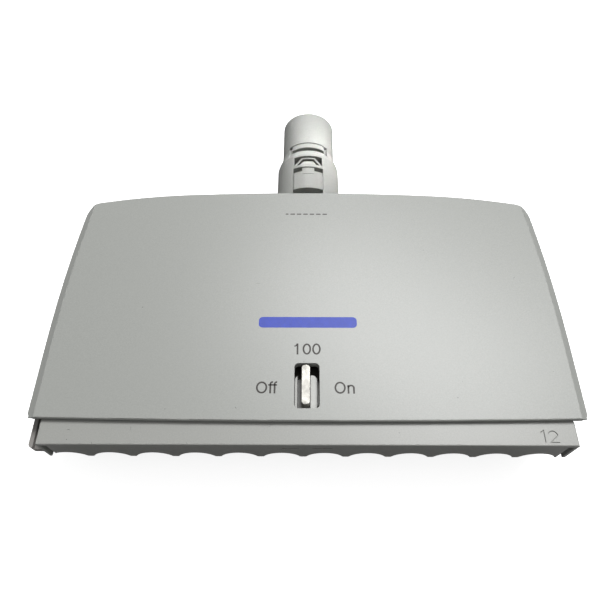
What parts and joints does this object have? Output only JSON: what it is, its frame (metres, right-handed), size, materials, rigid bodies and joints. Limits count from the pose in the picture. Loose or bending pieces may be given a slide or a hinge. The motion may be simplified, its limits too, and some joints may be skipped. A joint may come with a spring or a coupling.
{
  "type": "multichannel pipette head",
  "caption": "Lower head of a multichannel pipette: grey housing with neck socket, scalloped tip-ejector strip and an off/on slide switch, with pistons, cones and springs inside.",
  "frame": {"origin": "centre of the outer box, at the flat back of the rear cover that it lies on", "axes": "+Z out of the front cover, +Y up the neck away from the tips, +X along the row of channels"},
  "size_m": [0.1152, 0.0986, 0.0216],
  "materials": {
    "cover_grey": "fine texture",
    "trim_grey": "satin",
    "inner_grey": "satin",
    "light_plastic": "satin",
    "nickel": "fine scratched",
    "steel": "ground",
    "screw_steel": "machined",
    "aluminium": "anodised",
    "seal_black": "matte",
    "piston_steel": "polished",
    "bush_plastic": "self-lubricating",
    "dark_plastic": "matte",
    "clip_grey": "satin",
    "guide_grey": "satin"
  },
  "bodies": {
    "housing": {"front_cover": "cover_grey", "rear_cover": "cover_grey", "cover_screws": "screw_steel", "neck_sleeve": "cover_grey", "neck_clip": "clip_grey", "cylinder_block": "inner_grey", "seal_retainer": "aluminium", "end_guide": "guide_grey", "switch_rail": "dark_plastic", "guide_rod_left": "steel", "guide_rod_right": "steel", "return_spring_left": "steel", "return_spring_right": "steel", "ejector_spring_left": "steel", "ejector_spring_right": "steel", "tip_rings": "seal_black", "piston_seals": "seal_black", "nose_cone_01": "light_plastic", "nose_cone_02": "light_plastic", "nose_cone_03": "light_plastic", "nose_cone_04": "light_plastic", "nose_cone_05": "light_plastic", "nose_cone_06": "light_plastic", "nose_cone_07": "light_plastic", "nose_cone_08": "light_plastic", "nose_cone_09": "light_plastic", "nose_cone_10": "light_plastic", "nose_cone_11": "light_plastic", "nose_cone_12": "light_plastic"},
    "carriage": {"piston_bar": "aluminium", "guide_bushes": "bush_plastic", "clamp_plate": "aluminium", "clamp_screws": "screw_steel", "push_rod": "steel", "push_rod_cap": "seal_black", "piston_01": "piston_steel", "piston_02": "piston_steel", "piston_03": "piston_steel", "piston_04": "piston_steel", "piston_05": "piston_steel", "piston_06": "piston_steel", "piston_07": "piston_steel", "piston_08": "piston_steel", "piston_09": "piston_steel", "piston_10": "piston_steel", "piston_11": "piston_steel", "piston_12": "piston_steel"},
    "ejector": {"ejector_strip": "trim_grey", "ejector_comb": "inner_grey", "ejector_rod_left": "steel", "ejector_rod_right": "steel", "ejector_crosshead": "steel", "ejector_tube": "inner_grey", "ejector_screws": "screw_steel"},
    "switch": {"switch_slide": "light_plastic", "switch_bar": "nickel"},
    "latch": {"neck_latch": "trim_grey"},
    "coupling": {"coupling_ring": "dark_plastic"}
  },
  "joints": [
    {"name": "carriage_slide", "type": "slide", "parent": "housing", "child": "carriage", "axis": [0, 1, 0], "range_m": [-0.011, 0], "stiffness_N_per_m": 160, "springref_m": 0.004, "deforming": ["return_spring_left", "return_spring_right"]},
    {"name": "ejector_slide", "type": "slide", "parent": "housing", "child": "ejector", "axis": [0, 1, 0], "range_m": [-0.006, 0], "stiffness_N_per_m": 220, "springref_m": 0.003, "deforming": ["ejector_spring_left", "ejector_spring_right"]},
    {"name": "switch_slide", "type": "slide", "parent": "housing", "child": "switch", "axis": [1, 0, 0], "range_m": [-0.0012, 0.0016]},
    {"name": "latch_slide", "type": "slide", "parent": "housing", "child": "latch", "axis": [0, 1, 0], "range_m": [-0.0022, 0], "stiffness_N_per_m": 150, "springref_m": 0.001},
    {"name": "neck_swivel", "type": "hinge", "parent": "housing", "child": "coupling", "pos_m": [0, 0.0307, 0.0107], "axis": [0, 1, 0], "continuous": true}
  ]
}
